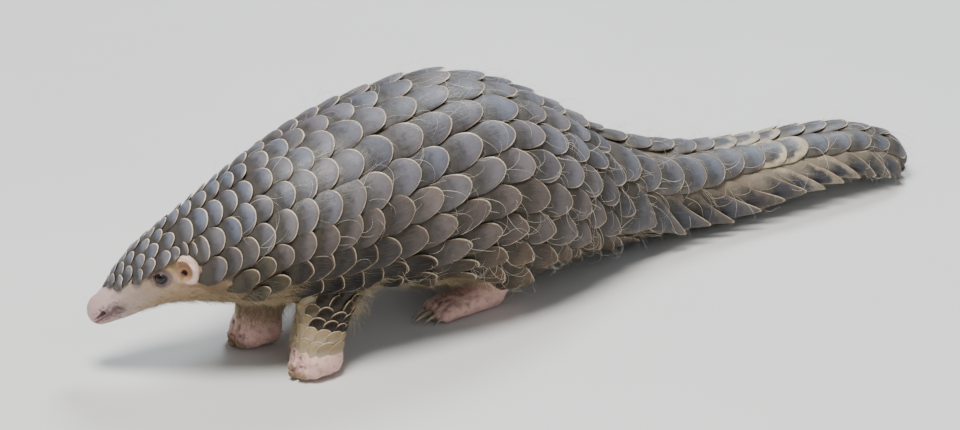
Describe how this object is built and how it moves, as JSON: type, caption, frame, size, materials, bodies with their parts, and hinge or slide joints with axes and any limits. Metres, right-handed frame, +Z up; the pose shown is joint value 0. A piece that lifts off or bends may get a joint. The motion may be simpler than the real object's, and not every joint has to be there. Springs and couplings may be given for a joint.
{
  "type": "pangolin",
  "caption": "Still life-size pangolin walking on all fours, head turned a little aside, body covered with overlapping horny scales, broad flat tail resting on the floor.",
  "frame": {"origin": "centre of the bounding box at floor level, under the belly", "axes": "+Z up; the head points to -Y and the tail to +Y, along the length of the animal; the animal's left side is +X"},
  "size_m": [0.1736, 0.7288, 0.1856],
  "materials": {
    "scales": "dark grey-brown horn with a dull sheen, thin pale free edges and fine lengthwise lines; browner on the flanks",
    "skin": "bare cream-pink skin, matte, with purple-grey blotches on the lips and sparse yellowish hair",
    "hair": "sparse coarse pale hair between the scales and yellow-brown hair on throat, belly and legs",
    "eye": "black, wet and glossy",
    "claw": "horn, grey-brown, smooth"
  },
  "bodies": {
    "root": {"neck": "scales", "chest": "scales", "trunk_front": "scales", "trunk_rear": "scales", "rump": "scales", "tail_1": "scales", "tail_2": "scales", "tail_3": "scales", "tail_4": "scales", "head": "skin", "ear_left": "skin", "eye_left": "eye", "foreleg_left": "scales", "forefoot_left": "skin", "hindleg_left": "scales", "hindfoot_left": "skin", "claw_fore_left_1": "claw", "claw_fore_left_2": "claw", "claw_fore_left_3": "claw", "claw_fore_left_4": "claw", "claw_fore_left_5": "claw", "claw_hind_left_1": "claw", "claw_hind_left_2": "claw", "claw_hind_left_3": "claw", "claw_hind_left_4": "claw", "claw_hind_left_5": "claw", "ear_right": "skin", "eye_right": "eye", "foreleg_right": "scales", "forefoot_right": "skin", "hindleg_right": "scales", "hindfoot_right": "skin", "claw_fore_right_1": "claw", "claw_fore_right_2": "claw", "claw_fore_right_3": "claw", "claw_fore_right_4": "claw", "claw_fore_right_5": "claw", "claw_hind_right_1": "claw", "claw_hind_right_2": "claw", "claw_hind_right_3": "claw", "claw_hind_right_4": "claw", "claw_hind_right_5": "claw"}
  },
  "joints": []
}
